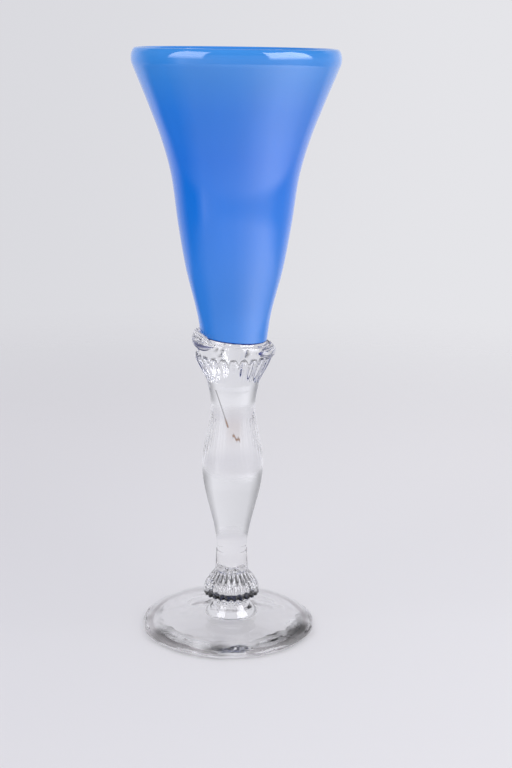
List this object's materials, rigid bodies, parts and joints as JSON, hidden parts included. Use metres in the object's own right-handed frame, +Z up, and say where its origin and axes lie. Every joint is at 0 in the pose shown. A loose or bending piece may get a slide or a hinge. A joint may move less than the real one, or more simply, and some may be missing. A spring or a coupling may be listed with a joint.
{
  "type": "goblet",
  "caption": "Tall hand-blown goblet: opaque blue trumpet bowl on a clear solid baluster stem with ribbed calyx, ribbed knop, merese and round domed foot.",
  "frame": {"origin": "on the table, under the axis of the stem and bowl; the foot's middle is 1.45 mm to the left of it", "axes": "+Z up along the stem; -Y towards the front, where the two ends of the collar's trail leave a gap; +X to the right seen from the front"},
  "size_m": [0.0922, 0.0922, 0.27],
  "materials": {
    "clear_glass": "fire-polished clear glass, faintly grey",
    "blue_glass": "opaque blue opaline glass, glossy"
  },
  "bodies": {
    "root": {"foot": "clear_glass", "merese": "clear_glass", "knop": "clear_glass", "baluster": "clear_glass", "calyx": "clear_glass", "collar": "clear_glass", "bowl": "blue_glass"}
  },
  "joints": []
}
